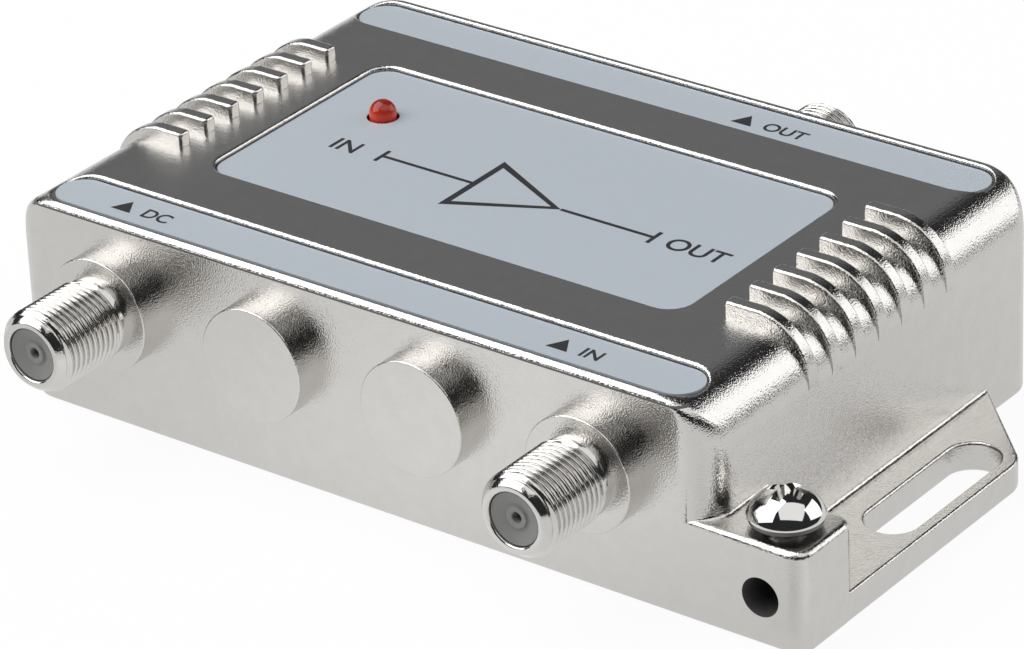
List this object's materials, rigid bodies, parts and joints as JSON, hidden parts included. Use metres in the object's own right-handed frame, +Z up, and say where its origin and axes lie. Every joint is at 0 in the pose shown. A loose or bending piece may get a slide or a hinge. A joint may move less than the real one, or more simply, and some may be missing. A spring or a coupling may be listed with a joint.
{
  "type": "television signal amplifier",
  "caption": "Flat die-cast cable television amplifier with threaded coaxial ports, cooling fins, slotted fixing lugs, a status lamp and an earth terminal.",
  "frame": {"origin": "middle of the housing in X and Y, on the plane of its base", "axes": "+X to the right seen from the front, towards the earth terminal; +Y to the rear; +Z up"},
  "size_m": [0.115, 0.0892, 0.0264],
  "materials": {
    "cast_nickel": "satin nickel plating over a fine-grained die-casting",
    "turned_nickel": "bright nickel plating over turned threads",
    "screw_nickel": "polished nickel plating",
    "dark_steel": "dull, darkened",
    "sheet_steel": "rolled sheet, satin",
    "tinned_metal": "tinned, satin",
    "grey_dielectric": "matt moulded",
    "contact_bronze": "bright",
    "label_foil": "satin foil with a clear coat",
    "red_lens": "clear-tinted, polished",
    "board_laminate": "solder mask, satin",
    "black_moulding": "matt moulded",
    "soft_pad": "matt",
    "capacitor_can": "satin can",
    "ferrite": "matt",
    "copper_wire": "enamelled",
    "ceramic": "matt"
  },
  "bodies": {
    "amplifier": {"housing": "cast_nickel", "bottom_cover": "sheet_steel", "power_port": "turned_nickel", "input_port": "turned_nickel", "output_port": "turned_nickel", "power_insulator": "grey_dielectric", "input_insulator": "grey_dielectric", "output_insulator": "grey_dielectric", "power_contact": "contact_bronze", "input_contact": "contact_bronze", "output_contact": "contact_bronze", "main_label": "label_foil", "front_label": "label_foil", "rear_label": "label_foil", "status_led": "red_lens", "led_leads": "tinned_metal", "circuit_board": "board_laminate", "board_screws": "tinned_metal", "amplifier_chip": "black_moulding", "thermal_pad": "soft_pad", "voltage_regulator": "black_moulding", "protection_diode": "black_moulding", "smoothing_capacitors": "capacitor_can", "dc_choke": "ferrite", "ferrite_transformers": "ferrite", "tuning_coils": "copper_wire", "surge_arrester": "tinned_metal", "shield_wall": "tinned_metal", "ceramic_capacitors": "ceramic", "chip_resistors": "black_moulding"},
    "washer": {"earth_washer": "dark_steel"},
    "screw": {"earth_screw": "screw_nickel"}
  },
  "joints": [
    {"name": "screw_lift", "type": "slide", "parent": "amplifier", "child": "washer", "axis": [0, 0, 1], "range_m": [-0.00058, 0.0028]},
    {"name": "screw_turn", "type": "hinge", "parent": "washer", "child": "screw", "pos_m": [0.0523, -0.02615, 0.0128], "axis": [0, 0, 1], "range_deg": [-300, 1442]}
  ],
  "couplings": [
    {"joint": "screw_turn", "follows": "screw_lift", "rad_per_m": 8976}
  ]
}
